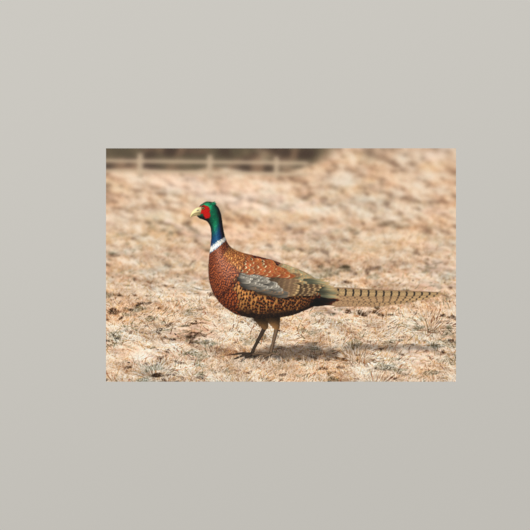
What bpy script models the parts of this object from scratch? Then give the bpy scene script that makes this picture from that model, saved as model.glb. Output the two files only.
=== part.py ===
"""A frameless wall print: one thin rectangular self-adhesive sheet in the 3:2 landscape format.

Metres, +Z up. The origin is the centre of the back face, which lies against the wall. +X runs to the
right along the wall, and the printed face looks along -Y, into the room.
"""

import bmesh
import bpy

INCH = 0.0254
SHEET_WIDTH = 36 * INCH
SHEET_HEIGHT = 24 * INCH
SHEET_THICKNESS = 0.0008  # printed film, soft white core and adhesive coat, laminated into one piece
EASED_EDGE = 0.00015  # the cutter leaves the rim of the printed face a little rounded
EASED_SEGMENTS = 3
EASED_PROFILE = 0.5  # a round arc
RIM_TOLERANCE = SHEET_THICKNESS / 4
PRINT_COLOUR = (0.52, 0.37, 0.25, 1.0)
PRINT_ROUGHNESS = 0.62
PRINT_METALLIC = 0.0
COLLECTION_NAME = "wall_print"


def clear_scene():
    for thing in list(bpy.data.objects):
        bpy.data.objects.remove(thing, do_unlink=True)


def make_collection(name):
    collection = bpy.data.collections.new(name)
    bpy.context.scene.collection.children.link(collection)
    return collection


def make_material(name, colour, roughness, metallic):
    material = bpy.data.materials.new(name)
    material.use_nodes = True
    shader = material.node_tree.nodes["Principled BSDF"]
    shader.inputs["Base Color"].default_value = colour
    shader.inputs["Roughness"].default_value = roughness
    shader.inputs["Metallic"].default_value = metallic
    return material


def is_printed_rim(edge):
    """True for the four edges round the printed face, which lies at y = -SHEET_THICKNESS."""
    return all(abs(vertex.co.y + SHEET_THICKNESS) < RIM_TOLERANCE for vertex in edge.verts)


def make_sheet(name, collection, material):
    """A box whose back face is on the wall plane, y = 0, with the rim of its printed face eased."""
    shape = bmesh.new()
    bmesh.ops.create_cube(shape, size=1.0)
    bmesh.ops.scale(shape, vec=(SHEET_WIDTH, SHEET_THICKNESS, SHEET_HEIGHT), verts=shape.verts)
    bmesh.ops.translate(shape, vec=(0.0, -SHEET_THICKNESS / 2, 0.0), verts=shape.verts)
    bmesh.ops.bevel(
        shape,
        geom=[edge for edge in shape.edges if is_printed_rim(edge)],
        offset=EASED_EDGE,
        offset_type="OFFSET",
        segments=EASED_SEGMENTS,
        profile=EASED_PROFILE,
        affect="EDGES",
    )
    mesh = bpy.data.meshes.new(name)
    shape.to_mesh(mesh)
    shape.free()
    mesh.materials.append(material)
    sheet = bpy.data.objects.new(name, mesh)
    collection.objects.link(sheet)
    return sheet


def main():
    clear_scene()
    collection = make_collection(COLLECTION_NAME)
    matt_print = make_material("matt_print", PRINT_COLOUR, PRINT_ROUGHNESS, PRINT_METALLIC)
    make_sheet("print_sheet", collection, matt_print)


main()
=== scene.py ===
import math
import time

import bpy
import numpy as np
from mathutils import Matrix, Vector


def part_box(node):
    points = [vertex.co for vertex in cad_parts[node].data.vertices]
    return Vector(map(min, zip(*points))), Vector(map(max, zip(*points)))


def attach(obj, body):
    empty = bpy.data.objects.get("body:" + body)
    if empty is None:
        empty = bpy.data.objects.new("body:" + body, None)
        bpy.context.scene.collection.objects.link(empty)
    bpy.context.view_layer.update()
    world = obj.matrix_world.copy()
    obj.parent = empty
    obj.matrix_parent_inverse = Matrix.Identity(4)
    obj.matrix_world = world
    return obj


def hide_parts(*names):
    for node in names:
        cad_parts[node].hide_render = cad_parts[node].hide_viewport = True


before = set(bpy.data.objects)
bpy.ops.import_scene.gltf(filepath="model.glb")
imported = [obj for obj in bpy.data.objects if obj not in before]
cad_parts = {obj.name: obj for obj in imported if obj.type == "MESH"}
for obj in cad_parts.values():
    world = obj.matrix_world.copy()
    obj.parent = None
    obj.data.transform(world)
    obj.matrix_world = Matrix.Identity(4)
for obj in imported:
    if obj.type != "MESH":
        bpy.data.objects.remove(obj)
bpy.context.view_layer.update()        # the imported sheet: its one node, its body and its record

startTime = time.time()
lowCorner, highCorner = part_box("print_sheet")
sheet = dict(
    left=lowCorner.x, bottom=lowCorner.z, front=lowCorner.y, back=highCorner.y,
    width=highCorner.x - lowCorner.x, height=highCorner.z - lowCorner.z, easedEdge=0.00015,
)


def report(stage):
    print(f"{time.time() - startTime:6.1f} s  {stage}")


# Camera, light and floor. The camera's aim is off the sheet's middle by a share of the view's width.
view = dict(distance=2.5, shareOfView=0.6604, aimRight=-0.0302)
room = dict(
    upper=(0.607, 0.587, 0.542), lower=(0.524, 0.505, 0.464), light=1.0,    # the surround above and below
    halfRise=0.45, sideShare=0.32,       # how far up the one turns to the other, and its share sideways
    floorDrop=1.4, floorReach=2.3, floorFade=0.9, floorColour=(0.62, 0.60, 0.56), floorRoughness=0.85,
)
lamps = [   # name, place, size, power
    ("windowLight", (-1.9, -2.5, 1.7), 1.8, 63.0),
    ("fillLight", (2.4, -2.3, 0.3), 2.2, 26.0),
    ("rearLight", (0.7, 2.6, 1.3), 1.8, 44.0),
]
lampColour = (0.875, 0.917, 1.0)   # a little cool, which evens out the warm surround


def addObject(name, data):
    thing = bpy.data.objects.new(name, data)
    bpy.context.scene.collection.objects.link(thing)
    return thing


# Places an object and turns its -Z side to a point.
def aimAt(thing, place, target):
    thing.location = place
    thing.rotation_euler = (Vector(target) - Vector(place)).to_track_quat("-Z", "Y").to_euler()


def makeCamera():
    viewWidth = sheet["width"] / view["shareOfView"]
    aim = Vector((view["aimRight"] * viewWidth, sheet["front"], 0))
    data = bpy.data.cameras.new("studioCamera")
    data.angle = 2 * math.atan(viewWidth / 2 / view["distance"])
    data.clip_start = 0.05
    camera = addObject("studioCamera", data)
    aimAt(camera, aim - Vector((0, view["distance"], 0)), aim)
    bpy.context.scene.camera = camera
    bpy.context.scene.view_settings.view_transform = "Standard"


def makeLamps():
    for name, place, size, power in lamps:
        data = bpy.data.lights.new(name, "AREA")
        data.shape = "DISK"
        data.size = size
        data.energy = power
        data.color = lampColour
        aimAt(addObject(name, data), place, (0, 0, 0))


# A number on its way through a node tree: each operator adds its Math node.
class Wire:
    def __init__(self, finish, socket):
        self.finish, self.socket = finish, socket

    def maths(self, operation, *others):
        return self.finish.node("ShaderNodeMath", dict(enumerate((self, *others))), operation=operation)

    __add__ = __radd__ = lambda self, other: self.maths("ADD", other)
    __mul__ = __rmul__ = lambda self, other: self.maths("MULTIPLY", other)
    __sub__ = lambda self, other: self.maths("SUBTRACT", other)
    __rsub__ = lambda self, other: self.maths("MULTIPLY_ADD", -1.0, other)
    __truediv__ = lambda self, other: self.maths("DIVIDE", other)


# The node tree of a new material or world.
class Finish:
    def __init__(self, owner):
        owner.use_nodes = True
        self.owner, self.tree = owner, owner.node_tree
        self.tree.nodes.clear()

    # Any node: its type, its sockets' values or wires, which output is wanted, and its settings, set first.
    def node(self, kind, sockets=None, output=0, **settings):
        made = self.tree.nodes.new(kind)
        for name, value in settings.items():
            setattr(made, name, value)
        for name, value in (sockets or {}).items():
            if isinstance(value, Wire):
                self.tree.links.new(value.socket, made.inputs[name])
            else:
                made.inputs[name].default_value = value
        return Wire(self, made.outputs[output]) if len(made.outputs) else made

    def objectPlace(self):
        return self.node("ShaderNodeTexCoord", output="Object")

    def ink(self):
        return self.node("ShaderNodeVertexColor", layer_name="ink")

    def split(self, vector):
        parts = self.node("ShaderNodeSeparateXYZ", {0: vector}).socket.node.outputs
        return [Wire(self, part) for part in parts]

    def noise(self, vector, scale, detail=2.0, roughness=0.5):
        sockets = {"Vector": vector, "Scale": scale, "Detail": detail, "Roughness": roughness}
        return self.node("ShaderNodeTexNoise", sockets)

    # 0 below the low value, 1 above the high one, a smooth step between.
    def step(self, value, low, high):
        sockets = {"Value": value, "From Min": low, "From Max": high}
        return self.node("ShaderNodeMapRange", sockets, interpolation_type="SMOOTHSTEP")

    def mix(self, share, first, second, blend="MIX"):
        sockets = {0: share, 6: first, 7: second}
        return self.node("ShaderNodeMix", sockets, 2, data_type="RGBA", blend_type=blend)

    def bump(self, height, distance, strength=1.0):
        return self.node("ShaderNodeBump", {"Height": height, "Distance": distance, "Strength": strength})

    # The Principled shader with these sockets, or a shader ready made, closes the material.
    def surface(self, shader):
        if isinstance(shader, dict):
            shader = self.node("ShaderNodeBsdfPrincipled", shader)
        self.node("ShaderNodeOutputMaterial", {"Surface": shader})
        return self.owner


def solid(colour, tone=1.0):
    return (*(tone * part for part in colour), 1.0)


def makeRoom():
    world = bpy.data.worlds.new("paleRoom")
    bpy.context.scene.world = world
    air = Finish(world)
    aside, _, rise = air.split(air.node("ShaderNodeTexCoord", output="Generated"))
    height = air.step(rise - room["sideShare"] * aside, -room["halfRise"], room["halfRise"])
    colour = air.mix(height, solid(room["lower"]), solid(room["upper"]))
    glow = air.node("ShaderNodeBackground", {"Color": colour, "Strength": room["light"]})
    air.node("ShaderNodeOutputWorld", {"Surface": glow})


# A disc of rings that fades out towards its rim: radius and turn are the two parameters.
def makeFloor():
    reach = room["floorReach"]
    radius, turn = np.meshgrid(np.linspace(0.001, reach, 24), np.linspace(0, 2 * math.pi, 97)[:-1])
    places = np.stack([radius * np.cos(turn), radius * np.sin(turn), 0 * radius - room["floorDrop"]], -1)
    floor = makeMesh("studioFloor", places, closedAround=True)
    paint = Finish(bpy.data.materials.new("floorPaint"))
    place = paint.objectPlace()
    alongX, alongY, _ = paint.split(place)
    share = paint.step((alongX * alongX + alongY * alongY).maths("SQRT"), reach - room["floorFade"], reach)
    mottle = paint.noise(place, 3.0, 3.0)
    colour = paint.mix(mottle, solid(room["floorColour"], 0.97), solid(room["floorColour"], 1.03))
    matt = paint.node("ShaderNodeBsdfPrincipled", {"Base Color": colour, "Roughness": room["floorRoughness"]})
    clear = paint.node("ShaderNodeBsdfTransparent")
    faded = paint.node("ShaderNodeMixShader", {0: share, 1: matt, 2: clear})
    floor.data.materials.append(paint.surface(faded))


def toLinear(colour):
    colour = np.clip(colour, 0, 1)
    return np.where(colour < 0.04045, colour / 12.92, ((colour + 0.055) / 1.055) ** 2.4)


# A grid of places becomes quads: each joins a place, its right, its upper right and its upper one.
def makeMesh(name, places, closedAround=False, inkOf=None):
    rows, columns = places.shape[:2]
    number = np.arange(rows * columns, dtype=np.int32).reshape(rows, columns)
    if closedAround:
        number = np.concatenate([number, number[:1]])
    quads = np.stack([number[:-1, :-1], number[:-1, 1:], number[1:, 1:], number[1:, :-1]], -1).reshape(-1, 4)
    mesh = bpy.data.meshes.new(name)
    mesh.vertices.add(rows * columns)
    mesh.vertices.foreach_set("co", places.reshape(-1).astype(np.float32))
    mesh.loops.add(quads.size)
    mesh.loops.foreach_set("vertex_index", quads.reshape(-1))
    mesh.polygons.add(len(quads))
    mesh.polygons.foreach_set("loop_start", np.arange(0, quads.size, 4, dtype=np.int32))
    mesh.polygons.foreach_set("loop_total", np.full(len(quads), 4, np.int32))
    mesh.update(calc_edges=True)
    mesh.validate()
    if inkOf is not None:
        colour = np.ones((rows * columns, 4), np.float32)
        colour[:, :3] = toLinear(inkOf.reshape(-1, 3))
        ink = mesh.color_attributes.new("ink", "FLOAT_COLOR", "POINT")
        ink.data.foreach_set("color", colour.reshape(-1))
    return addObject(name, mesh)


makeCamera()
makeLamps()
makeRoom()
makeFloor()
report("camera, light and floor")

# The picture is painted in metres from the sheet's lower left corner, in spots finer than the ink cells.
raster = dict(cellsAcross=780, cellsUp=520, spotsPerCell=3)
spotsAcross = raster["cellsAcross"] * raster["spotsPerCell"]
spotsUp = raster["cellsUp"] * raster["spotsPerCell"]
spot = sheet["width"] / spotsAcross
gridX, gridY = np.meshgrid(*(
    (np.arange(count, dtype=np.float32) + 0.5) * np.float32(spot) for count in (spotsAcross, spotsUp)
))


def rgb(*values):
    return np.array(values, np.float32)


# 0 below low, 1 above high and 3t² - 2t³ between; low may be the greater one.
def ramp(low, high, value):
    t = np.clip((value - low) / (high - low), 0, 1)
    return t * t * (3 - 2 * t)


# Lays one colour after another over the first, each by its own share.
def overlay(colour, *layers):
    for other, share in layers:
        colour = colour + (other - colour) * np.asarray(share, np.float32)[..., None]
    return colour


def unit(vectors):
    return vectors / np.maximum(np.linalg.norm(vectors, axis=-1, keepdims=True), 1e-9)


# How far along a row of points each one lies.
def runAlong(points):
    return np.append(0, np.cumsum(np.linalg.norm(np.diff(points, axis=0), axis=1)))


# A cubic from knot to knot, whose slope at a knot is that of the line between its neighbours.
def curveThrough(knots, values, at):
    slopes = np.gradient(values, knots, axis=0)
    k = np.clip(np.searchsorted(knots, at, side="right") - 1, 0, len(knots) - 2)
    step = knots[k + 1] - knots[k]
    t = np.clip((at - knots[k]) / step, 0, 1)
    if values.ndim > 1:
        t, step = t[..., None], step[..., None]
    rise = values[k] * (2 * t**3 - 3 * t**2 + 1) + values[k + 1] * (3 * t**2 - 2 * t**3)
    return rise + step * (slopes[k] * (t**3 - 2 * t**2 + t) + slopes[k + 1] * (t**3 - t**2))


# Cubic B-spline weights that spread a coarse row of numbers over a fine one.
def splineWeights(fine, cell):
    position = np.arange(fine) / cell
    left = np.floor(position).astype(int)
    t = position - left
    weights = np.zeros((fine, int(fine / cell) + 5), np.float32)
    parts = ((1 - t) ** 3, 3 * t**3 - 6 * t**2 + 4, -3 * t**3 + 3 * t**2 + 3 * t + 1, t**3)
    for offset, part in enumerate(parts):
        weights[np.arange(fine), left + offset] = part / 6
    return weights


# Random numbers on a coarse lattice of the given lumps, spread smoothly: mean 0 and deviation 1.
def cloud(lumpX, lumpY, seed):
    up = splineWeights(spotsUp, max(lumpY / spot, 1.01))
    across = splineWeights(spotsAcross, max(lumpX / spot, 1.01))
    coarse = np.random.default_rng(seed).standard_normal((up.shape[1], across.shape[1])).astype(np.float32)
    field = up @ coarse @ across.T
    return (field - field.mean()) / field.std()


# Three running means each way, which come close to a bell curve of that deviation in metres.
def soften(image, deviation):
    reach = int(round(deviation / spot))
    width = 2 * reach + 1
    for axis in (0, 1, 0, 1, 0, 1):
        image = np.moveaxis(image, axis, 0)
        padded = np.concatenate([np.repeat(image[:1], reach + 1, 0), image, np.repeat(image[-1:], reach, 0)])
        total = np.cumsum(padded, 0, dtype=np.float64)
        image = np.moveaxis(((total[width:] - total[:-width]) / width).astype(np.float32), 0, axis)
    return image


# Later points cover earlier ones, so every array comes in painting order.
def lay(picture, x, y, colour, cover=None):
    column = np.floor(x / spot).astype(np.int32)
    row = np.floor(y / spot).astype(np.int32)
    inside = (column >= 0) & (column < spotsAcross) & (row >= 0) & (row < spotsUp)
    index = (row * spotsAcross + column)[inside]
    picture.reshape(-1, 3)[index] = colour[inside]
    if cover is not None:
        cover.reshape(-1)[index] = 1


def readAt(field, x, y):
    column = np.clip((x / spot).astype(np.int32), 0, spotsAcross - 1)
    row = np.clip((y / spot).astype(np.int32), 0, spotsUp - 1)
    return field[row, column]


# A blade tapers along a parabola: a runs along it, b across, and its middle bends off by bend · a².
def layBlades(picture, x, y, heading, length, width, bend, root, tip, batch=1500):
    for first in range(0, len(x), batch):
        part = slice(first, first + batch)
        a = np.linspace(0, 1, int(length[part].max() / spot * 1.3) + 2, dtype=np.float32)[None, :, None]
        b = np.linspace(-1, 1, int(width[part].max() / spot * 1.6) + 2, dtype=np.float32)[None, None, :]
        x0, y0, long, wide, turn, curve = (
            values[part].astype(np.float32)[:, None, None] for values in (x, y, length, width, heading, bend)
        )
        half = wide / 2 * np.sqrt(np.clip(1 - a, 0.02, 1)) * np.clip(0.55 + 3 * a, 0, 1)
        aside, turned = curve * a * a * long, turn + 2 * curve * a
        px = x0 + long * a * np.cos(turn) - aside * np.sin(turn) - b * half * np.sin(turned)
        py = y0 + long * a * np.sin(turn) + aside * np.cos(turn) + b * half * np.cos(turned)
        low, high = (colours[part].astype(np.float32)[:, None, None, :] for colours in (root, tip))
        colour = (low + (high - low) * a[..., None]) * (1 + 0.10 * b)[..., None]
        lay(picture, px.ravel(), py.ravel(), np.broadcast_to(colour, px.shape + (3,)).reshape(-1, 3))


# The dry meadow: thatch with bare patches, blades and tufts over it, and a blurred hedge and fence behind.
meadow = dict(
    blades=60000, frontBlades=16000, longest=0.034, leaves=260, twigs=16,
    tufts=(95, 0.042, 150, 0.22), tussocks=(15, 0.062, 420, 0.40),    # count, reach, blades, shaded share
    focusY=0.090, focusDepth=0.075, blurGrowth=0.0125, haze=0.11, tintSpread=0.050,
    crispness=0.72, crispReach=0.0034, cap=rgb(0.93, 0.845, 0.755), capShare=0.45,
    shadow=rgb(0.46, 0.355, 0.275), earth=rgb(0.80, 0.645, 0.53), straw=rgb(0.875, 0.745, 0.615),
    gold=rgb(0.90, 0.74, 0.53), pale=rgb(0.96, 0.865, 0.76), bleached=rgb(0.995, 0.94, 0.865),
    olive=rgb(0.56, 0.51, 0.39), bare=rgb(0.90, 0.765, 0.665), leaf=rgb(0.47, 0.33, 0.235),
    light=rgb(0.95, 0.85, 0.745), hollowWarmth=rgb(1.0, 1.2, 1.4), warmer=rgb(0.36, -0.14, -0.58),
    mossLoss=rgb(0.33, 0.285, 0.315), hollowLoss=rgb(0.50, 0.55, 0.60),
)
# Lumps of the ground: size near by (across, up), size far off, weights in height and in swell.
groundLumps = [
    ((0.105, 0.044), (0.046, 0.0185), 0.50, 0.55), ((0.034, 0.0170), (0.0155, 0.0080), 0.62, 1.0),
    ((0.0115, 0.0062), (0.0072, 0.0042), 0.42, 0.62),
]
# Patches of warmer and cooler grass: size (across, up), weight.
tintLumps = [((0.010, 0.006), 0.50), ((0.024, 0.011), 0.62), ((0.055, 0.026), 0.60), ((0.125, 0.050), 0.50)]
hedge = dict(
    foot=0.546, dark=rgb(0.21, 0.155, 0.12), leaf=rgb(0.47, 0.36, 0.27), ivy=rgb(0.34, 0.31, 0.22),
    rail=rgb(0.80, 0.70, 0.58), posts=[(0.088, 0.015, 0.598), (0.270, 0.014, 0.594), (0.444, 0.013, 0.590)],
    rails=[(0.577, -0.012), (0.551, -0.018)],
)


# Height is noise of three sizes, finer far off; relief and swell sum their slopes towards the light.
def raiseGround(seed):
    far = ramp(0.04, 0.48, gridY)
    height, relief, swell = (np.zeros_like(gridX) for _ in range(3))
    for number, (near, distant, weight, swellWeight) in enumerate(groundLumps):
        lump = (1 - far) * cloud(*near, seed + 2 * number) + far * cloud(*distant, seed + 2 * number + 1)
        slope = 0.44 * near[0] * np.gradient(lump, axis=1) + 0.61 * near[1] * np.gradient(lump, axis=0)
        height += weight * lump
        relief += weight * slope / slope.std()
        swell += swellWeight * (slope / slope.std() + 0.4 * lump)
    return height / height.std(), relief / relief.std(), swell / swell.std()


def thatch():
    height, relief, swell = raiseGround(11)
    hollow = ramp(1.25, 2.7, cloud(0.0105, 0.0056, 30) + 0.45 * cloud(0.030, 0.014, 31) - 0.30 * swell)
    tone = 0.45 * height + 0.80 * relief + 0.25 * cloud(0.0045, 0.0022, 18) - 1.5 * hollow
    near = ramp(0.38, 0.16, gridY)
    bare = cloud(0.085, 0.030, 19) - 0.25 * height + 0.3 * cloud(0.010, 0.005, 20) + 0.35 * near
    bare = ramp(0.75, 1.25, bare)
    soil = meadow["bare"] * (1 + 0.05 * relief + 0.02 * cloud(0.003, 0.0015, 16))[..., None]
    picture = overlay(
        meadow["earth"], (meadow["straw"], ramp(-1.0, 0.9, tone)),
        (meadow["gold"], 0.6 * ramp(0.0, 1.6, cloud(0.060, 0.022, 17))),
        (meadow["shadow"], 0.72 * ramp(-0.75, -2.1, tone)),
        (meadow["pale"], 0.75 * ramp(0.5, 1.9, tone)), (soil, 0.85 * bare),
    )
    light = 1.0 + 0.045 * ramp(0.30, 0.06, gridY) + 0.028 * ramp(0.36, 0.46, gridY)
    light += (0.026 + 0.055 * near) * np.clip(swell, -2.6, 1.5)
    moss = ramp(0.75, 2.3, cloud(0.030, 0.012, 32) + 0.6 * cloud(0.009, 0.005, 33))
    moss = (moss * ramp(0.47, 0.36, gridY))[..., None]
    loss = moss * meadow["mossLoss"] + (hollow * (0.40 + 0.60 * near))[..., None] * meadow["hollowLoss"]
    return picture, tone, bare, light, loss


# A few blades are dark or olive and one in eight is golden; the rest run from earthy to bleached.
def bladeTints(random, bright):
    kind = random.random(len(bright))
    dark = meadow["leaf"] * random.uniform(1.2, 1.75, len(bright))[:, None]
    return overlay(
        meadow["straw"], (meadow["pale"], np.clip(bright * 1.7 - 0.1, 0, 1)),
        (meadow["bleached"], np.clip(bright * 2.2 - 1.2, 0, 1)),
        (meadow["earth"] * 0.88, np.clip(0.75 - bright * 2.4, 0, 1)), (dark, kind < 0.045),
        (meadow["gold"] * 0.94, (kind > 0.045) & (kind < 0.17)), (meadow["olive"], kind > 0.975),
    )


# Growth looks smaller the higher up the sheet it stands.
def nearness(y):
    return 1 - 0.72 * np.clip(y / sheet["height"], 0, 1) ** 0.8


# Level headings, half of them to the right and half to the left.
def eitherWay(random, spread, count):
    return random.normal(0, spread, count) + np.where(random.random(count) < 0.5, 0, math.pi)


# Blades lie combed along slow swirls, shorter and finer with distance; bare patches have few.
def scatterBlades(picture, tone, bare, count, high, seed, longest, upright=0.22):
    random = np.random.default_rng(seed)
    x = random.uniform(-0.02, sheet["width"] + 0.02, count)
    y = np.sort((high + 0.03) * random.random(count) ** 0.92 - 0.03)[::-1]
    grown = random.random(count) > 0.82 * readAt(bare, x, y)
    x, y = x[grown], y[grown]
    count, near = len(x), nearness(y)
    flat = 0.42 * readAt(cloud(0.045, 0.020, seed + 5), x, y) + eitherWay(random, 0.33, count)
    risen = random.normal(math.pi / 2, 0.6, count)
    heading = np.where(random.random(count) < upright, risen, flat)
    length = longest * random.uniform(0.22, 1.0, count) ** 1.3 * near
    width = random.uniform(0.0009, 0.0021, count) * near
    bright = np.clip(0.52 + 0.21 * readAt(tone, x, y) + random.normal(0, 0.19, count), 0, 1)
    tip = bladeTints(random, bright)
    root = tip * rgb(0.84, 0.80, 0.76) - 0.01
    layBlades(picture, x, y, heading, length, width, random.normal(0, 0.35, count), root, tip)


# A tuft is a fan of blades from one root, lit on its left, with its shadow lying to the right.
def layTufts(picture, count, longest, each, inShade, seed):
    random = np.random.default_rng(seed)
    x = random.uniform(0, sheet["width"], count)
    y = np.sort(0.50 * random.random(count) ** 1.25 - 0.01)[::-1]
    reach = longest * random.uniform(0.32, 1.0, count) ** 1.7 * nearness(y)
    x, y, reach, lean = (np.repeat(values, each) for values in (x, y, reach, random.normal(0, 0.30, count)))
    share, blades = np.tile(np.linspace(0, 1, each), count), count * each
    shade = share < inShade
    aside = random.normal(0, 0.42, blades)
    above = 0.18 - 0.40 * share + random.normal(0, 0.10, blades)
    fan = math.pi / 2 + lean - 1.3 * aside + random.normal(0, 0.45, blades)
    heading = np.where(shade, random.normal(0.10, 0.25, blades), fan)
    bright = np.clip(0.48 + 0.50 * random.random(blades) - 0.28 * aside, 0, 1)
    tip = np.where(shade[:, None], meadow["leaf"] * 1.15, bladeTints(random, bright))
    root = tip * np.where(shade[:, None], 1, rgb(0.66, 0.58, 0.50))
    length = reach * random.uniform(0.30, 1.0, blades) * np.where(shade, 0.8, 1)
    width = np.where(shade, 0.0022, 0.0013) * (0.45 + 0.55 * np.clip(reach / 0.042, 0, 1.15))
    bend = -0.5 * np.sign(aside) * random.random(blades)
    layBlades(picture, x + aside * reach, y + above * reach, heading, length, width, bend, root, tip)


# Dead leaves are short wide blades and twigs long thin ones.
def layLitter(picture, seed):
    random = np.random.default_rng(seed)
    leaves = (meadow["leaves"], 0.009, 0.0042, meadow["leaf"])
    twigs = (meadow["twigs"], 0.075, 0.0018, meadow["shadow"] * 0.9)
    for count, longest, width, tint in (leaves, twigs):
        x = random.uniform(0, sheet["width"], count)
        y = np.sort(0.46 * random.random(count) ** 1.1)[::-1]
        near, heading = nearness(y), eitherWay(random, 0.35, count)
        tip = tint * random.uniform(0.75, 1.5, (count, 1))
        length = longest * random.uniform(0.4, 1.0, count) * near
        layBlades(picture, x, y, heading, length, width * near, random.normal(0, 0.25, count), tip * 0.8, tip)


# A hedge of noise with patches of ivy, three leaning posts before it, and two rails from post to post.
def layHedge(picture):
    line = hedge["foot"] + 0.020 * ramp(0.25, 0.60, gridX) + 0.006 * cloud(0.07, 0.05, 25)
    cover = ramp(-0.002, 0.010, gridY - line) * ramp(0.66, 0.50, gridX + 0.05 * cloud(0.04, 0.04, 26))
    leaves = overlay(
        hedge["dark"], (hedge["leaf"], ramp(-0.8, 1.6, cloud(0.014, 0.020, 27))),
        (hedge["ivy"], 0.6 * ramp(0.3, 1.5, cloud(0.035, 0.02, 28))),
    )
    picture = overlay(picture, (leaves, cover))
    for postX, postWidth, top in hedge["posts"]:
        aside = gridX - postX - 0.02 * (gridY - 0.5)
        post = ramp(postWidth / 2 + 0.001, postWidth / 2 - 0.001, np.abs(aside))
        post = post * ramp(top, top - 0.003, gridY) * ramp(0.531, 0.534, gridY)
        picture = overlay(picture, (hedge["rail"] * (0.92 - 14 * aside)[..., None], post))
    for railY, slope in hedge["rails"]:
        rail = ramp(0.0052, 0.0040, np.abs(gridY - railY - slope * gridX)) * ramp(0.54, 0.52, gridX)
        picture = overlay(picture, (hedge["rail"], rail))
    return picture


# Softened copies, mixed row by row: the need for blur grows with the distance from the sharp strip.
def blurWithDistance(picture, levels=(0.0, 0.0005, 0.0014, 0.0032, 0.0062)):
    beyond = np.clip(gridY - meadow["focusY"] - meadow["focusDepth"], 0, None)
    before = np.clip(meadow["focusY"] - meadow["focusDepth"] - gridY, 0, None)
    need = meadow["blurGrowth"] * (beyond + 0.5 * before)
    return overlay(picture, *(
        (soften(picture, stronger), np.clip((need - weaker) / (stronger - weaker), 0, 1))
        for weaker, stronger in zip(levels, levels[1:])
    ))


# A warmer patch has more red and less blue, a cooler one the other way round; they are stronger close by.
def tintPatches(seed):
    warmth = sum(weight * cloud(*size, seed + number) for number, (size, weight) in enumerate(tintLumps))
    warmth += 0.35 * ramp(0.36, 0.20, gridY)
    share = meadow["tintSpread"] * (0.85 + 0.15 * ramp(0.45, 0.30, gridY)) * warmth
    return 1 + share[..., None] * meadow["warmer"]


# Fine contrast is raised close by, then what is above the cap is drawn part of the way down to it.
def crispen(picture):
    share = meadow["crispness"] * ramp(0.38, 0.17, gridY)[..., None]
    picture = picture + share * (picture - soften(picture, meadow["crispReach"]))
    return picture - meadow["capShare"] * np.clip(picture - meadow["cap"], 0, None)


# Light has a power for each colour, so what it darkens grows warmer; moss and hollows show in the gaps.
def paintMeadow():
    picture, tone, bare, light, loss = thatch()
    scatterBlades(picture, tone, bare, meadow["blades"], 0.62, 21, meadow["longest"])
    layLitter(picture, 29)
    layTufts(picture, *meadow["tufts"], 22)
    scatterBlades(picture, tone, bare, meadow["frontBlades"], 0.20, 23, 1.2 * meadow["longest"], upright=0.28)
    layTufts(picture, *meadow["tussocks"], 54)
    gaps = 0.22 + 0.78 * ramp(0.86, 0.60, picture.mean(axis=-1))
    picture = np.clip(picture, 0, 1.1) * light[..., None] ** meadow["hollowWarmth"]
    picture = crispen(picture * tintPatches(34) * np.clip(1 - gaps[..., None] * loss, 0.2, 1))
    haze = meadow["haze"] * np.clip(gridY / sheet["height"], 0, 1) ** 1.5
    return overlay(blurWithDistance(layHedge(picture)), (meadow["light"], haze))


# A cock pheasant from its left side: ahead is towards its bill, up from the ground, out to the viewer.
bird = dict(
    rootX=0.578, groundY=0.050, size=0.95, bladesBefore=240,
    tailLength=335, floor=18, feetAhead=170,    # in mm
)
legs = [(180, 28, 0.80, 0.35, 71), (148, 8, 1.14, 1.0, 61)]     # far and near: hip, lean, tone, sun, seed
daylight = dict(
    towardsSun=unit(np.array([0.44, 0.66, 0.61])), sun=np.array([1.13, 1.03, 0.86]),
    sky=np.array([0.31, 0.35, 0.40]), ground=np.array([0.42, 0.33, 0.23]),
)
mirrorWay = unit(daylight["towardsSun"] + np.array([0, 0, 1.0]))   # such normals mirror the sun
# Ribs from tail to bill: place along the body, back (ahead, up), belly (ahead, up) and half thickness, in mm.
ribs = np.array([
    (0.00, -8, 196, -4, 176, 9), (0.06, 16, 217, 22, 162, 24), (0.14, 54, 243, 58, 146, 42),
    (0.24, 102, 264, 102, 130, 57), (0.35, 152, 281, 156, 122, 68), (0.46, 198, 293, 214, 124, 72),
    (0.56, 232, 302, 268, 142, 70), (0.64, 254, 310, 303, 174, 62), (0.71, 268, 320, 322, 214, 51),
    (0.77, 277, 334, 327, 254, 40), (0.82, 283, 352, 325, 290, 31), (0.86, 287, 372, 321, 322, 25),
    (0.90, 290, 394, 319, 352, 21), (0.93, 294, 413, 322, 374, 19.5), (0.955, 303, 430, 331, 388, 20),
    (0.975, 318, 441, 342, 393, 20), (0.99, 336, 441, 352, 397, 17), (1.00, 350, 432, 358, 402, 11),
])
billRibs = np.array([
    (0.00, 345, 428, 350, 404, 7.5), (0.30, 356, 426, 357, 404, 7.5), (0.60, 366, 420, 365, 403, 6.5),
    (0.85, 374, 410, 372, 401, 5), (1.00, 377, 401, 376, 399, 2),
])
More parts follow.
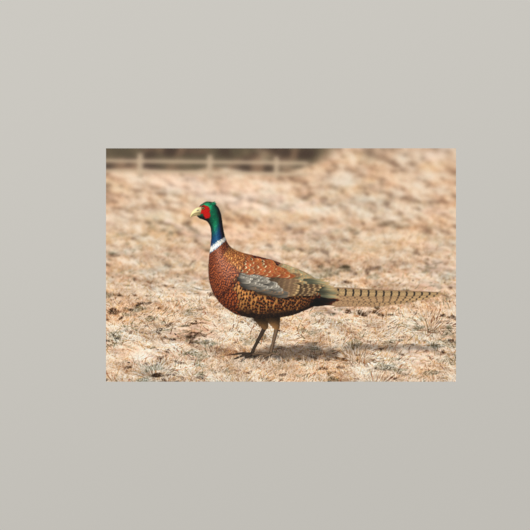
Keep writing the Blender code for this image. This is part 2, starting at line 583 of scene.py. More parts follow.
hue = dict(
    ink=rgb(0.045, 0.055, 0.065), green=rgb(0.02, 0.33, 0.24), emerald=rgb(0.10, 0.62, 0.40),
    blue=rgb(0.07, 0.20, 0.42), violet=rgb(0.24, 0.14, 0.34), ring=rgb(0.97, 0.96, 0.92),
    chestnut=rgb(0.45, 0.205, 0.135), copper=rgb(0.68, 0.355, 0.18), purple=rgb(0.16, 0.09, 0.12),
    gold=rgb(0.83, 0.605, 0.35), buff=rgb(0.90, 0.77, 0.55), cream=rgb(0.90, 0.83, 0.66),
    bark=rgb(0.27, 0.19, 0.14), soot=rgb(0.11, 0.10, 0.10), sage=rgb(0.58, 0.59, 0.48),
    slate=rgb(0.66, 0.65, 0.62), dove=rgb(0.40, 0.39, 0.37), brown=rgb(0.50, 0.395, 0.30),
    olive=rgb(0.71, 0.595, 0.43), lilac=rgb(0.60, 0.46, 0.37), wattle=rgb(0.83, 0.10, 0.07),
    horn=rgb(0.90, 0.85, 0.64), shank=rgb(0.44, 0.365, 0.30), crown=rgb(0.36, 0.42, 0.28),
)
# A zone of the coat: its core, band and rim, the reaches where core and band end, and how black its tip is.
coatZones = dict(
    flank=("brown", "gold", "copper", 0.52, 0.96, 0.95),
    belly=("soot", "bark", "soot", 0.5, 0.95, 0.0),
    undertail=("soot", "chestnut", "soot", 0.5, 0.9, 0.0),
    rump=("dove", "sage", "olive", 0.30, 0.88, 0.0),
    rumpSide=("chestnut", "copper", "sage", 0.5, 0.93, 0.0),
    scapular=("cream", "chestnut", "purple", 0.6, 0.93, 0.0),
    mantle=("bark", "gold", "copper", 0.50, 0.90, 0.55),
    breast=("chestnut", "copper", "purple", 0.62, 0.90, 0.0),
)
neckRing = dict(low=0.822, high=0.842, slant=0.021)


# The sun by the cosine, the sky's light from above and the ground's from below, on a matt surface.
def lit(colour, normal, shade=1.0):
    cosine = np.clip(normal @ daylight["towardsSun"], 0, 1)[..., None]
    upward = (0.5 + 0.5 * normal[..., 1])[..., None]
    light = daylight["sun"] * cosine * shade + daylight["sky"] * upward + daylight["ground"] * (1 - upward)
    return (np.clip(colour, 0, 1) ** 2.2 * light).clip(0, 1) ** (1 / 2.2)


# A rib is half an ellipse between its two ends: middle + half span · sine, and out by thickness · cosine.
def skinAt(along, turn, table=ribs):
    rib = curveThrough(table[:, 0], table[:, 1:] / 1000, along)
    upper, lower, depth = rib[..., 0:2], rib[..., 2:4], rib[..., 4]
    flat = (upper + lower) / 2 + (upper - lower) / 2 * np.sin(turn)[..., None]
    return np.concatenate([flat, (depth * np.cos(turn))[..., None]], -1)


def facing(normal):
    return normal * np.where(normal[..., 2:3] < 0, -1, 1)


# The skin's own directions: towards the bill, towards the back, and out.
def skinFrame(along, turn, small=1e-3):
    ahead = unit(skinAt(np.minimum(along + small, 1), turn) - skinAt(np.maximum(along - small, 0), turn))
    across = unit(skinAt(along, turn + small) - skinAt(along, turn - small))
    return ahead, across, facing(unit(np.cross(ahead, across)))


def onSheet(ahead, up):
    return bird["rootX"] - bird["size"] * ahead, bird["groundY"] + bird["size"] * up


# One sheet of paint: its colour, where it covers, and which way the painted surface faces.
class Layer:
    def __init__(self, under=None):
        self.colour = np.zeros((spotsUp, spotsAcross, 3), np.float32)
        self.cover = np.zeros((spotsUp, spotsAcross), np.float32)
        self.normal = under.normal.copy() if under else np.zeros_like(self.colour)

    def put(self, place, colour, normal):
        x, y = (values.ravel() for values in onSheet(place[..., 0], place[..., 1]))
        lay(self.colour, x, y, colour.reshape(-1, 3), self.cover)
        lay(self.normal, x, y, normal.reshape(-1, 3))

    def normalAt(self, ahead, up):
        found = readAt(self.normal, *onSheet(ahead, up))
        bare = np.linalg.norm(found, axis=-1, keepdims=True) < 0.5
        return np.where(bare, unit(np.array([0.05, 0.40, 0.91])), found)

    # Lays a finished part on this one, with the soft shadow that it throws away from the sun.
    def layOver(self, part, throw=0.004, blur=0.003, strength=0.5):
        right, down = int(throw * 0.6 / spot), int(throw / spot)
        shadow = np.zeros_like(part.cover)
        shadow[: spotsUp - down, right:] = part.cover[down:, : spotsAcross - right]
        self.colour = self.colour * (1 - strength * soften(shadow, blur))[..., None]
        covered = part.cover > 0
        self.colour[covered] = part.colour[covered]
        self.normal[covered] = part.normal[covered]
        self.cover = np.maximum(self.cover, part.cover)


# A feather is a leaf over two directions: root + a·length·back + (bend·a²·length + b·half width)·side.
def layFeathers(
    layer, quill, colouring, tip=3.0, curl=0.28, tilt=0.12, foot=0.5, batch=300, shade=1.0, sheen=0.10
):
    scale = bird["size"] / spot
    for first in range(0, len(quill["length"]), batch):
        own = {name: values[first : first + batch, None, None] for name, values in quill.items()}
        a = np.linspace(0, 1, int(own["length"].max() * scale * 1.4) + 3)[None, :, None]
        b = np.linspace(-1, 1, int(own["width"].max() * scale * 1.6) + 3)[None, None, :]
        leaf = np.clip(foot + 1.3 * a, 0, 1) * np.sqrt(np.clip(1 - a**tip, 0, 1))
        aside = own["bend"] * a * a * own["length"] + b * own["width"] / 2 * leaf
        place = own["root"] + (a * own["length"])[..., None] * own["back"] + aside[..., None] * own["side"]
        curled = own["outward"] + curl * b[..., None] * own["side"]
        normal = unit(curled + tilt * (a - 0.55)[..., None] * own["back"])
        glint = sheen * shade * np.clip(normal @ mirrorWay, 0, 1) ** 18
        colour = lit(colouring(a, b, own, normal), normal, shade) + glint[..., None] * rgb(1.0, 0.93, 0.88)
        layer.put(place, colour, normal)


# Roots in staggered rows over the skin, each row most of a gap behind the next.
def skinRoots(low, high, gap, seed, reach):
    random = np.random.default_rng(seed)
    fine, around = np.linspace(0, 1, 800), np.linspace(-math.asin(reach), math.asin(reach), 200)
    run = runAlong(skinAt(fine, 0 * fine))
    start, stop = np.interp([low, high], fine, run)
    places, turns = [], []
    for number, along in enumerate(np.interp(np.arange(start, stop, gap * 0.62), run, fine)):
        arcRun = runAlong(skinAt(0 * around + along, around))
        steps = np.arange((number % 2) * gap / 2, arcRun[-1], gap)
        steps = steps + random.uniform(-0.2, 0.2, len(steps)) * gap
        turns.append(np.interp(steps, arcRun, around))
        places.append(along + random.uniform(-0.2, 0.2, len(steps)) * gap / (stop - start) * (high - low))
    return np.clip(np.concatenate(places), 0, 1), np.concatenate(turns)


# Feathers on the skin point back along it. Lengths and widths in mm are read between knots along the body,
# and roots stay ahead of an edge, a polynomial of how far up the side they are.
def skinFeathers(low, high, gap, knots, lengths, widths, seed, edge=(-1,), reach=0.985, scatter=0.10):
    along, turn = skinRoots(low, high, gap, seed, reach)
    order = np.argsort(along, kind="stable")
    order = order[(along > np.polyval(edge, np.sin(turn)))[order]]
    along, turn, count = along[order], turn[order], len(order)
    ahead, across, outward = skinFrame(along, turn)
    random = np.random.default_rng(seed + 1)
    twist = random.normal(0, scatter, count)[:, None]
    return dict(
        root=skinAt(along, turn), along=along, rise=np.sin(turn), outward=outward,
        back=-ahead * np.cos(twist) - across * np.sin(twist),
        side=across * np.cos(twist) - ahead * np.sin(twist),
        length=np.interp(along, knots, lengths) / 1000 * random.uniform(0.9, 1.1, count),
        width=np.interp(along, knots, widths) / 1000 * random.uniform(0.9, 1.1, count),
        bend=random.normal(0, 0.05, count), tint=random.normal(0, 1, count),
    )


# Long feathers told one by one: root ahead and up, heading in degrees, length, width (mm) and bend.
def quillsFrom(layer, rows, seed, own=0.5, ownNormal=(0.0, 0.45, 0.9)):
    toMetres = np.array([0.001, 0.001, 1, 0.001, 0.001, 1])
    ahead, up, heading, length, width, bend = (np.array(rows, float) * toMetres).T
    heading, flat = np.radians(heading), 0 * ahead
    return dict(
        root=np.stack([ahead, up, flat], -1), back=np.stack([np.cos(heading), np.sin(heading), flat], -1),
        side=np.stack([np.sin(heading), -np.cos(heading), flat], -1),
        outward=unit(own * unit(np.array(ownNormal)) + (1 - own) * layer.normalAt(ahead, up)),
        length=length, width=width, bend=bend, tint=np.random.default_rng(seed).normal(0, 1, len(ahead)),
    )


# A row of quills told by its first and last one, each a little off its place.
def quillRow(first, last, count, seed=0, jitter=0.0):
    off = jitter * np.array([2.2, 1.6, 3.0, 2.5, 0.8, 0.02])
    return np.linspace(first, last, count) + np.random.default_rng(seed).normal(0, off, (count, 6))


# Told quills are laid one by one, each over the one before.
def layQuills(layer, rows, seed, colouring, **shape):
    layFeathers(layer, quillsFrom(layer, rows, seed), colouring, batch=1, **shape)


# Each zone's share, from the place along the body and how far up the side it is, starts at soft edges.
def coatPaint(along, rise, tint):
    near = along + 0.012 * tint
    weight = dict(
        belly=ramp(-0.72, -0.86, rise + 0.012 * tint),
        undertail=ramp(0.17, 0.14, near) * ramp(0.15, -0.1, rise),
        rump=ramp(0.40, 0.34, near) * ramp(0.10, 0.3, rise),
        rumpSide=ramp(0.30, 0.26, near) * ramp(-0.25, -0.1, rise) * ramp(0.34, 0.2, rise),
        scapular=ramp(0.34, 0.38, near) * ramp(0.15, 0.3, rise),
        mantle=ramp(0.555, 0.575, near + 0.03 * rise) * ramp(0.30, 0.45, rise),
        breast=ramp(0.585, 0.60, near - 0.05 * rise)
        * np.maximum(ramp(0.55, 0.42, rise), ramp(0.735, 0.76, along)),
    )
    paint, edges = [hue[name] for name in coatZones["flank"][:3]], coatZones["flank"][3:]
    for zone, share in weight.items():
        paint = [overlay(old, (hue[name], share)) for old, name in zip(paint, coatZones[zone][:3])]
        edges = [old + (number - old) * share for old, number in zip(edges, coatZones[zone][3:])]
    return paint + edges


# The reach √(a² + 0.42 b²) sorts a feather into core, band and rim; a blot may darken its tip.
def coatColouring(a, b, own, normal):
    core, band, rim, coreEnd, bandEnd, blotShare = coatPaint(own["along"], own["rise"], own["tint"])
    reach, out = np.sqrt(a * a + 0.42 * b * b), np.abs(b)
    colour = overlay(
        core, (band, ramp(coreEnd - 0.06, coreEnd + 0.06, reach)),
        (rim, ramp(bandEnd - 0.05, bandEnd + 0.03, reach)),
        (hue["soot"], blotShare * ramp(0.74, 0.82, a) * ramp(0.80, 0.62, out)),
    )
    barbs = (1 + 0.05 * np.sin(36 * (a * 1.5 + out) + 5 * own["tint"])) * (1 + 0.07 * own["tint"])
    return colour * (barbs * (0.62 + 0.38 * ramp(0.25, 0.72, a)))[..., None]


# Black turned from the light, then green to emerald; blue and violet down the neck, bronze on the crown.
def glossColour(normal, along, rise):
    shine = np.clip(normal @ mirrorWay, 0, 1)
    neck = ramp(0.93, 0.87, along)
    crown = ramp(0.70, 0.95, rise) * ramp(0.945, 0.965, along)
    return overlay(
        hue["ink"], (hue["green"], ramp(0.45, 0.85, shine)), (hue["emerald"], 0.9 * ramp(0.84, 0.985, shine)),
        (hue["blue"], 0.85 * neck * ramp(0.35, 0.8, shine)),
        (hue["violet"], 0.6 * neck * ramp(0.75, 0.5, shine) * ramp(0.3, 0.5, shine)),
        (hue["crown"], 0.55 * crown * ramp(0.4, 0.9, shine)),
    )


def neckColouring(a, b, own, normal):
    along = own["along"] + 0.0035 * own["tint"]
    place, low, high = along + neckRing["slant"] * own["rise"], neckRing["low"], neckRing["high"]
    white = ramp(low - 0.003, low, place) * ramp(high + 0.003, high, place)
    colour = overlay(glossColour(normal, along, own["rise"]), (hue["ring"], white))
    return colour * (1 + 0.12 * own["tint"] + 0.12 * (a - 0.5))[..., None]


# A light shaft down a feather's middle.
def shaft(b, width=0.08):
    return np.exp(-((b / width) ** 2))


# Black bars at even steps of a, bowed by b², on olive with a lilac fringe.
def tailColouring(a, b, own, normal):
    out, tint = np.abs(b), own["tint"]
    wave = a * 16 + 0.14 * b * b + 0.05 * tint + 0.02 * np.sin(40 * a + 9 * b)
    bars = ramp(0.62, 0.80, np.sin(2 * math.pi * wave)) * ramp(0.86, 0.66, out) * ramp(0.995, 0.93, a)
    colour = overlay(hue["olive"], (hue["lilac"], 0.6 * ramp(0.62, 0.9, out)), (hue["soot"], 0.9 * bars))
    barbs = 0.94 + 0.05 * np.sin(260 * a - 9 * out + 3 * tint) + 0.16 * shaft(b, 0.07)
    return colour * (barbs + 0.05 * tint - 0.10 * (b > 0))[..., None]


# A core, a paler rim from the given edge outwards, buff bars if asked, and a light shaft.
def wingColouring(core, rim, bars=0.0, rimFrom=0.74, share=1.0):
    def colouring(a, b, own, normal):
        out, tint = np.abs(b), own["tint"]
        edge = np.maximum(out * (0.35 + 0.65 * a), a**3)
        barred = bars * ramp(0.1, 0.6, np.sin(2 * math.pi * (a * 7 + 0.25 * out + 0.2 * tint)))
        colour = overlay(
            core, (rim, ramp(rimFrom, rimFrom + 0.2, edge) * share),
            (hue["buff"], barred * ramp(0.1, 0.35, out)),
        )
        barbs = 1 + 0.04 * np.sin(44 * (a * 1.4 - 0.6 * out) + 5 * tint)
        depth = 0.54 + 0.46 * ramp(0.12, 0.72, a)
        return colour * (barbs * depth + 0.12 * shaft(b) + 0.07 * tint)[..., None]

    return colouring


# Rings by the reach: bark, a cream crescent, chestnut and a thin golden edge.
def scapularColouring(a, b, own, normal):
    reach, tint = np.sqrt(a * a + 0.42 * b * b), own["tint"]
    warm = hue["chestnut"] * (1.12 + 0.10 * np.sin(3 * tint[..., None])) + rgb(0.05, 0.05, 0.01)
    colour = overlay(
        hue["bark"], (hue["cream"], 0.92 * ramp(0.52, 0.58, reach) * ramp(1.1, 0.75, np.abs(b))),
        (warm, ramp(0.62, 0.69, reach)), (hue["gold"] * 0.8, 0.6 * ramp(0.90, 0.96, reach)),
    )
    return colour * (0.60 + 0.40 * ramp(0.2, 0.7, a) + 0.08 * shaft(b) + 0.08 * tint)[..., None]


def laySkin(layer):
    for part in np.array_split(np.linspace(0, 1, 2400), 6):
        along, turn = np.meshgrid(part, np.linspace(-math.pi / 2, math.pi / 2, 800), indexing="ij")
        place, normal, rise = skinAt(along, turn), skinFrame(along, turn)[2], np.sin(turn)
        coat, gloss = coatPaint(along, rise, 0 * along)[1] * 0.6, glossColour(normal, along, rise)
        colour = overlay(coat, (gloss, ramp(0.81, 0.82, along)))
        layer.put(place, lit(colour, normal), normal)


# Seven feathers that grow longer from the outermost in, and the longest over them.
def layTail(layer):
    longest = bird["tailLength"]
    rows = []
    for k in range(7):
        length = longest * (0.34 + 0.60 * (k / 6) ** 0.8)
        rows.append((24 - 3 * k, 174 + 3 * k, 191 - 1.1 * k, length, 27, 0.05))
    rows.append((18, 197, 184, longest, 28, 0.05))
    quill = quillsFrom(layer, rows, 41, 1.0, (0.0, 0.35, 0.94))
    layFeathers(layer, quill, tailColouring, tip=1.35, curl=0.30, tilt=0.0, foot=0.75, batch=1)


# Long loose feathers over the tail's root, below and above it.
def layTailCoverts(layer):
    below = quillRow((46, 156, 172, 52, 13, -0.04), (22, 176, 178, 46, 12, 0.0), 8, 32, 1.2)
    above = np.concatenate([
        quillRow((62, 226, 190, 60, 12, 0.06), (30, 196, 186, 62, 12, 0.04), 9, 30, 1.2),
        quillRow((36, 214, 190, 58, 11, 0.06), (16, 184, 184, 55, 11, 0.03), 8, 31, 1.2),
    ])
    dark = wingColouring(hue["soot"] * 1.2, hue["chestnut"] * 0.8, rimFrom=0.5)
    pale = wingColouring(hue["sage"] * 0.92, hue["olive"], rimFrom=0.4, share=0.8)
    layQuills(layer, below, 66, dark, tip=2.2)
    layQuills(layer, above, 67, pale, tip=2.0)


# Primaries, secondaries and greater coverts, five rows of grey coverts, then the scapulars over them.
def layWing(layer):
    primary = wingColouring(hue["brown"] * 0.62, hue["buff"] * 0.9, bars=0.6, share=0.7)
    secondary = wingColouring(hue["brown"] * 0.80, hue["buff"] * 0.92, bars=0.2, share=0.8)
    greater = wingColouring(hue["dove"] * 0.86, hue["brown"] * 1.15, rimFrom=0.62, share=0.85)
    lesser = wingColouring(hue["dove"] * 1.05, hue["slate"] * 1.10, rimFrom=0.60, share=0.80)
    slim, broad = dict(tip=2.4, curl=0.2, tilt=0), dict(tip=2.6, curl=0.25, tilt=0)
    rows = [    # hindmost and foremost quill, how many, jitter, colouring and shape
        ((128, 194, 187, 92, 11, 0.03), (122, 214, 183, 112, 12, 0.03), 5, 0.5, primary, slim),
        ((196, 194, 187, 112, 15, 0.02), (172, 236, 182, 104, 18, 0.03), 7, 0.6, secondary, broad),
        ((150, 190, 185, 50, 17, 0.03), (242, 214, 189, 42, 17, 0.03), 11, 0.6, greater, {}),
    ]
    coverts = [     # height of the hind and fore end, length, width, how many
        (204, 228, 38, 16, 12), (218, 240, 32, 14, 12), (230, 250, 27, 12.5, 12),
        (241, 259, 23, 11, 11), (251, 267, 19, 10, 10),
    ]
    for k, (low, high, length, width, count) in enumerate(coverts):
        hind = (162 + 9 * k, low, 184, length, width, 0.03)
        fore = (250 + 3 * k, high, 190, length * 0.85, width * 0.9, 0.03)
        rows.append((hind, fore, count, 0.8, lesser, dict(tilt=0.14)))
    for k, (hind, fore, count, jitter, colouring, shape) in enumerate(rows):
        layQuills(layer, quillRow(hind, fore, count, 1 + k, jitter), 51 + k, colouring, **shape)
    scapulars = []
    hindEnds = [(239, 12, 44), (247, 12, 42), (255, 11, 39), (262, 11, 36), (268, 10, 33), (273, 9, 30)]
    for k, (low, count, length) in enumerate(hindEnds):
        hind = (134 + 8 * k, low, 185, length, 15.5, 0.04)
        fore = (250 - k, low + 16 + k, 192, length * 0.62, 11.5, 0.04)
        scapulars.extend(quillRow(hind, fore, count, 10 + k, 1.0))
    scapulars.sort(key=lambda row: row[0])
    layQuills(layer, scapulars, 65, scapularColouring, tilt=0.14)


# A round limb along a curve: its width runs from knot to knot, and cross bands mark its scales.
def layLimb(layer, points, widths, colour, shade, bands=0.0, bandLength=3.6):
    knots, t, b = np.linspace(0, 1, len(points)), np.linspace(0, 1, 700), np.linspace(-1, 1, 60)[None, :]
    middle = curveThrough(knots, np.array(points) / 1000, t)
    half = curveThrough(knots, np.array(widths) / 1000, t)[:, None] / 2
    ahead, up = unit(np.gradient(middle, axis=0)).T[..., None]
    place = middle[:, None] + (b * half)[..., None] * np.stack([-up, ahead], -1)
    normal = unit(np.stack([-up * b, ahead * b, np.sqrt(1.02 - b * b) + 0 * half], -1))
    wave = runAlong(middle)[:, None] * 1000 / bandLength + 0.12 * b * b
    scale = ramp(0.5, 0.95, np.sin(2 * math.pi * wave))
    tone = 1 - bands * scale - 0.08 * b - 0.40 * ramp(0.45, 1.0, np.abs(b))
    layer.put(place, lit(colour * tone[..., None], normal, shade), normal)


# Shank from the heel down to the foot, a spur, three toes ahead with their claws, and one toe behind.
def layLeg(layer, hip, lean, colour, shade):
    foot, floor = hip + lean, bird["floor"]
    shank = [
        (hip - 9, 99), (hip - 8 + lean * 0.25, 82), (hip - 2 + lean * 0.82, floor + 22), (foot, floor + 4),
    ]
    layLimb(layer, shank, [12, 10.5, 8.0, 10.5], colour, shade, 0.26)
    spur = [(hip - 5 + lean * 0.65, floor + 38), (hip - 13 + lean * 0.6, floor + 35)]
    layLimb(layer, spur, [4.5, 1.2], colour * 0.9, shade)
    for reach, drop in ((50, 4), (44, -7), (28, -15)):
        knuckle, end = (foot + reach * 0.5, floor + 5 + drop * 0.5), (foot + reach, floor + drop)
        layLimb(layer, [(foot - 2, floor + 5), knuckle, end], [7.5, 6.0, 3.6], colour, shade, 0.26, 3.8)
        layLimb(layer, [end, (foot + reach + 6, floor + drop - 2)], [3.4, 1.0], hue["bark"], shade)
    hindToe = [(foot - 2, floor + 7), (foot - 11, floor + 5), (foot - 20, floor + 1)]
    layLimb(layer, hindToe, [5.5, 4, 1.8], colour, shade, 0.2)


# A cone of short feathers from the belly down and back to the heel.
def layThigh(layer, hip, shade, seed, count=900):
    random = np.random.default_rng(seed)
    down = np.sort(random.uniform(0, 1, count) ** 0.85)[::-1]
    across = random.uniform(-1, 1, count)
    aside = hip + 26 - 34 * down + across * (30 * (1 - down) ** 0.85 + 5.0)
    heading = 246 + 12 * down - 9 * across * (1 - down) + random.normal(0, 6, count)
    rows = np.stack([aside, 172 - 72 * down, heading, 17 - 7 * down, 7.5 - 3.5 * down, 0 * down], -1)
    quill = quillsFrom(layer, rows, seed + 1)
    out = np.sqrt(np.clip(1 - 0.64 * across**2, 0.1, 1))
    quill["outward"] = unit(np.stack([across * 0.8, 0.05 - 0.2 * down, out], -1))
    fluff = wingColouring(hue["brown"] * 0.74, hue["gold"] * 0.80, rimFrom=0.58, share=0.7)
    layFeathers(layer, quill, fluff, tip=2.5, curl=0.2, tilt=0.1, shade=shade, sheen=0.03)


# Horn that darkens towards the face, with the line of the gape and an oval nostril.
def layBill(layer):
    t, turn = np.meshgrid(np.linspace(0, 1, 300), np.linspace(-math.pi / 2, math.pi / 2, 160), indexing="ij")
    place, rise = skinAt(t, turn, billRibs), np.sin(turn)
    normal = facing(unit(np.cross(np.gradient(place, axis=0), np.gradient(place, axis=1))))
    gape = np.exp(-(((rise + 0.42 - 0.25 * t) / 0.10) ** 2)) * ramp(0.97, 0.9, t)
    nostril = ((t - 0.30) / 0.10) ** 2 + ((rise - 0.30) / 0.16) ** 2
    colour = overlay(
        hue["horn"], (rgb(0.62, 0.60, 0.46), 0.7 * ramp(0.45, 0.0, t)), (rgb(0.30, 0.25, 0.18), 0.85 * gape),
        (rgb(0.22, 0.18, 0.13), 0.85 * ramp(1.3, 0.6, nostril)),
    )
    shine = 0.35 * np.clip(normal @ mirrorWay, 0, 1) ** 30
    layer.put(place, overlay(lit(colour, normal), (rgb(1.0, 0.98, 0.92), shine)), normal)


# The red face: three overlapping ellipses, covered in beads on a slanted lattice of the given pitch in mm.
def layFace(layer, pitch=1.9):
    ahead, up = np.meshgrid(np.linspace(312, 366, 420), np.linspace(388, 444, 420))
    ellipses = [(339, 420, 16.0, 12.5), (331, 406, 9.5, 10.5), (350, 416, 8.5, 8.5)]    # middle and half axes
    inside = np.max([1 - np.hypot((ahead - x) / wide, (up - y) / tall) for x, y, wide, tall in ellipses], 0)
    inside += 0.05 * np.sin(0.55 * ahead + 0.3 * up) + 0.04 * np.sin(0.9 * up - 0.4 * ahead)
    lift = 0.87 * up / pitch
    slant = (ahead + 0.5 * up) / pitch + 0.25 * np.sin(1.3 * lift)
    beads = np.sin(2 * math.pi * slant) * np.sin(2 * math.pi * lift)
    slopeAhead, slopeUp = np.gradient(beads, axis=1), np.gradient(beads, axis=0)
    normal = unit(np.stack([0.25 - 1.6 * slopeAhead, 0.10 - 1.6 * slopeUp, 0.9 + 0 * ahead], -1))
    speck = ramp(0.75, 1.0, np.sin(0.55 * ahead - 1.15 * up)) * ramp(0.5, 1.0, np.sin(1.9 * ahead))
    colour = overlay(
        hue["wattle"] * (0.80 + 0.20 * ramp(-0.5, 0.6, beads))[..., None],
        (rgb(0.45, 0.03, 0.04), 0.7 * (1 - ramp(0.0, 0.25, inside))), (hue["ink"], 0.8 * speck),
    )
    keep = inside > 0
    layer.put(np.stack([ahead, up], -1)[keep] / 1000, lit(colour, normal)[keep], normal[keep])


# Rings by the distance from the eye's middle: pupil, amber iris, dark rim; and a catch light.
def layEye(layer, ahead=0.3415, up=0.4245, radius=0.0040):
    x, y = np.meshgrid(np.linspace(-1.5, 1.5, 120), np.linspace(-1.5, 1.5, 120))
    reach = np.hypot(x, y)
    colour = overlay(
        rgb(0.80, 0.58, 0.20), (rgb(0.42, 0.20, 0.07), ramp(0.75, 0.98, reach)),
        (rgb(0.015, 0.012, 0.012), ramp(0.58, 0.52, reach)), (rgb(0.05, 0.03, 0.03), ramp(0.97, 1.05, reach)),
    ) * (1 - 0.45 * ramp(0.1, 0.9, y))[..., None]
    colour = overlay(colour, (rgb(0.97, 0.98, 1.0), ramp(0.26, 0.14, np.hypot(x - 0.25, y - 0.32))))
    keep = reach < 1.22
    place = np.stack([ahead + x * radius, up + y * radius], -1)
    layer.put(place[keep], colour[keep], np.broadcast_to(rgb(0, 0, 1), colour.shape)[keep])


def layCoat(layer):
    lengths, widths = [20, 26, 28, 20, 16], [13, 17, 18, 14.5, 12.5]
    quill = skinFeathers(0.03, 0.70, 0.0098, [0, 0.2, 0.45, 0.6, 0.7], lengths, widths, 1)
    layFeathers(layer, quill, coatColouring, curl=0.24, tilt=0.20, sheen=0.15)


# The breast lies over the wing's root. It starts at a line that leans forward from the back to the belly.
def layBreast(layer):
    lengths, widths, edge = [17, 15, 10], [12.5, 10.5, 6.5], (0.02, -0.05, 0.600)
    quill = skinFeathers(0.56, 0.835, 0.0070, [0.56, 0.7, 0.83], lengths, widths, 3, edge)
    layFeathers(layer, quill, coatColouring, curl=0.28, tilt=0.22, sheen=0.24)


# Small glossy feathers from the ring up, and ear tufts with the same gloss.
def layNeck(layer):
    lengths, widths, edge = [8.0, 5.5, 3.5], [2.4, 1.9, 1.5], (-neckRing["slant"], neckRing["low"] - 0.004)
    quill = skinFeathers(0.80, 1.0, 0.0022, [0.82, 0.92, 1.0], lengths, widths, 5, edge, 0.99, 0.16)
    layFeathers(layer, quill, neckColouring, tip=2.0, curl=0.22, tilt=0.20)
    tufts = quillRow((320, 438, 166, 12, 2.6, 0.15), (314, 434, 174, 10, 2.6, 0.15), 4)
    layQuills(layer, tufts, 7, lambda a, b, own, normal: glossColour(normal, 0.95, 0.0), tip=1.6)


# Legs first, then the body that shades them, the wing on it and the breast over the wing.
def paintPheasant():
    layer, body, front = Layer(), Layer(), Layer()
    for hip, lean, tone, shade, seed in legs:
        layLeg(layer, hip, lean, hue["shank"] * tone, shade)
        layThigh(layer, hip, 0.9 * shade, seed)
    for add in (layTail, laySkin, layCoat, layTailCoverts):
        add(body)
    layer.layOver(body, 0.012, 0.0055, 0.62)
    wing = Layer(layer)
    layWing(wing)
    layer.layOver(wing)
    layBreast(front)
    layer.layOver(front, 0.003, 0.0025, 0.45)
    for add in (layNeck, layFace, layBill, layEye):
        add(layer)
    return layer


# The bird's shadow on the grass: ragged ellipses for its body, tail and feet.
shadows = [     # middle right of and above the foot, half width and height, lean, where it is full, strength
    (0.085, 0.009, 0.150, 0.020, 0.6, 0.50, 1.0), (0.300, 0.022, 0.155, 0.0085, 0.0, 0.55, 0.7),
    (-0.006, -0.001, 0.062, 0.0070, 0.0, 0.40, 1.45),
]


def shadeGround(picture):
    footX, footY = onSheet(bird["feetAhead"] / 1000, bird["floor"] / 1000)
    ragged, dark = 0.18 * cloud(0.012, 0.006, 31), 0
    for right, above, wide, tall, lean, full, strength in shadows:
        x, y = gridX - footX - right - lean * (gridY - footY), gridY - footY - above
        dark = np.maximum(dark, strength * ramp(1.30, full, np.hypot(x / wide, y / tall) + ragged))
    return picture * (1 - soften(dark, 0.0016)[..., None] * rgb(0.44, 0.44, 0.43))


# Blades that grow in front of the feet.
def layFrontBlades(picture, count, seed):
    random = np.random.default_rng(seed)
    middleX, middleY = onSheet((bird["feetAhead"] + 15) / 1000, bird["floor"] / 1000)
    x = middleX + random.normal(0, 0.060, count)
    y = np.sort(middleY - 0.017 - random.random(count) * 0.02)[::-1]
    tip = bladeTints(random, np.clip(random.normal(0.60, 0.32, count), 0, 1))
    heading = math.pi / 2 + random.normal(0, 0.9, count)
    length, width = 0.024 * random.uniform(0.35, 1.0, count), random.uniform(0.0009, 0.0018, count)
    root, bend = tip * rgb(0.80, 0.75, 0.70), random.normal(0, 0.4, count)
    layBlades(picture, x, y, heading, length, width, bend, root, tip)


# Averages the spots round each ink cell's corner.
def toCells(picture):
    n = raster["spotsPerCell"]
    reach = n // 2 + 1
    padded = np.pad(picture, ((reach, reach), (reach, reach), (0, 0)), mode="edge")
    total = sum(padded[i : i + spotsUp + 1, j : j + spotsAcross + 1] for i in range(n) for j in range(n))
    return (total / n**2)[::n, ::n]


# Light falls off a little towards the corners, and the printer leaves a fine grain.
def inkFrom(picture, seed):
    cells = toCells(picture)
    random = np.random.default_rng(seed)
    up, across = np.meshgrid(*(np.linspace(-0.5, 0.5, count) for count in cells.shape[:2]), indexing="ij")
    grain = random.normal(0, 0.007, cells.shape[:2])[..., None] + random.normal(0, 0.004, cells.shape)
    return np.clip(cells * (1.02 - 0.08 * (up**2 + across**2))[..., None] + grain, 0, 1).astype(np.float32)


def paintPicture():
    picture = shadeGround(paintMeadow())
    report("meadow painted")
    pheasant = paintPheasant()
    picture = overlay(picture, (pheasant.colour, pheasant.cover))
    report("pheasant painted")
    layFrontBlades(picture, bird["bladesBefore"], 41)
    return inkFrom(picture, 51)


# The pieces of the print: six face tiles, the cut rim round them and the adhesive back.
film = dict(
    tilesAcross=3, tilesUp=2, roughness=0.60, roughnessSpread=0.07, specular=0.13,
    patchScale=9.0, toothScale=1500.0, toothDepth=0.000012, toneSpread=0.03,
)
rim = dict(
    arcPoints=5, filmThickness=0.00022, filmBlur=0.00002, adhesiveThickness=0.00007, adhesiveBlur=0.00001,
    core=(0.86, 0.855, 0.83), adhesive=(0.62, 0.60, 0.54),
    roughness=0.62, streakScale=260.0, streakDepth=0.00003,
)
backing = dict(
    columns=195, rows=130, channelPitch=0.0120, channelWidth=0.10, specular=0.5,
    sheetColour=(0.83, 0.84, 0.84), channelColour=(0.60, 0.62, 0.63), mottleColour=(0.89, 0.895, 0.89),
    roughness=0.34, roughnessSpread=0.20, mottleScale=14.0, fineScale=900.0, creaseDepth=0.00012,
)


# A flat grid at one depth, its outermost lines drawn in by the inset; towards the wall it runs right to left.
def flatPlaces(columns, rows, depth, inset=0.0, towardsWall=False):
    x = sheet["left"] + np.linspace(0, sheet["width"], columns + 1)
    z = sheet["bottom"] + np.linspace(0, sheet["height"], rows + 1)
    for line in (x, z):
        line[0] += inset
        line[-1] -= inset
    across, up = np.meshgrid(x[::-1] if towardsWall else x, z)
    return np.stack([across, np.full_like(across, depth), up], -1)


